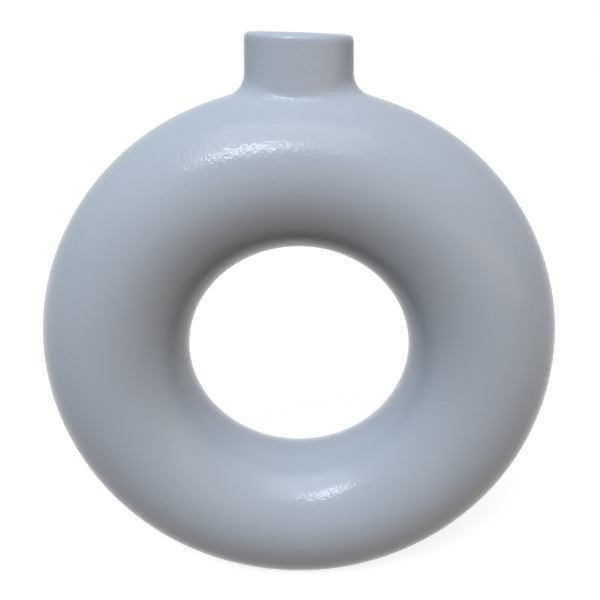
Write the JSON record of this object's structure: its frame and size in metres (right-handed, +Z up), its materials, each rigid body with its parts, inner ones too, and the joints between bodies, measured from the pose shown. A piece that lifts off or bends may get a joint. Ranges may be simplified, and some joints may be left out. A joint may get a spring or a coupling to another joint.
{
  "type": "ring vase",
  "caption": "Ring-shaped ceramic bud vase standing on edge, with a hollow round tube, an open centre and a short oval neck at the top for stems.",
  "frame": {"origin": "centre of the flat foot, on the surface that the vase stands on", "axes": "+Z up through the neck, +Y along the ring's axis towards its back, +X to the right as seen from the front"},
  "size_m": [0.2, 0.056, 0.2147],
  "materials": {
    "glazed_stoneware": "satin matt glaze"
  },
  "bodies": {
    "root": {"front_half_ring": "glazed_stoneware", "rear_half_ring": "glazed_stoneware", "outer_seam_coil": "glazed_stoneware", "inner_seam_coil": "glazed_stoneware", "neck_collar": "glazed_stoneware", "neck_luting_coil": "glazed_stoneware"}
  },
  "joints": []
}
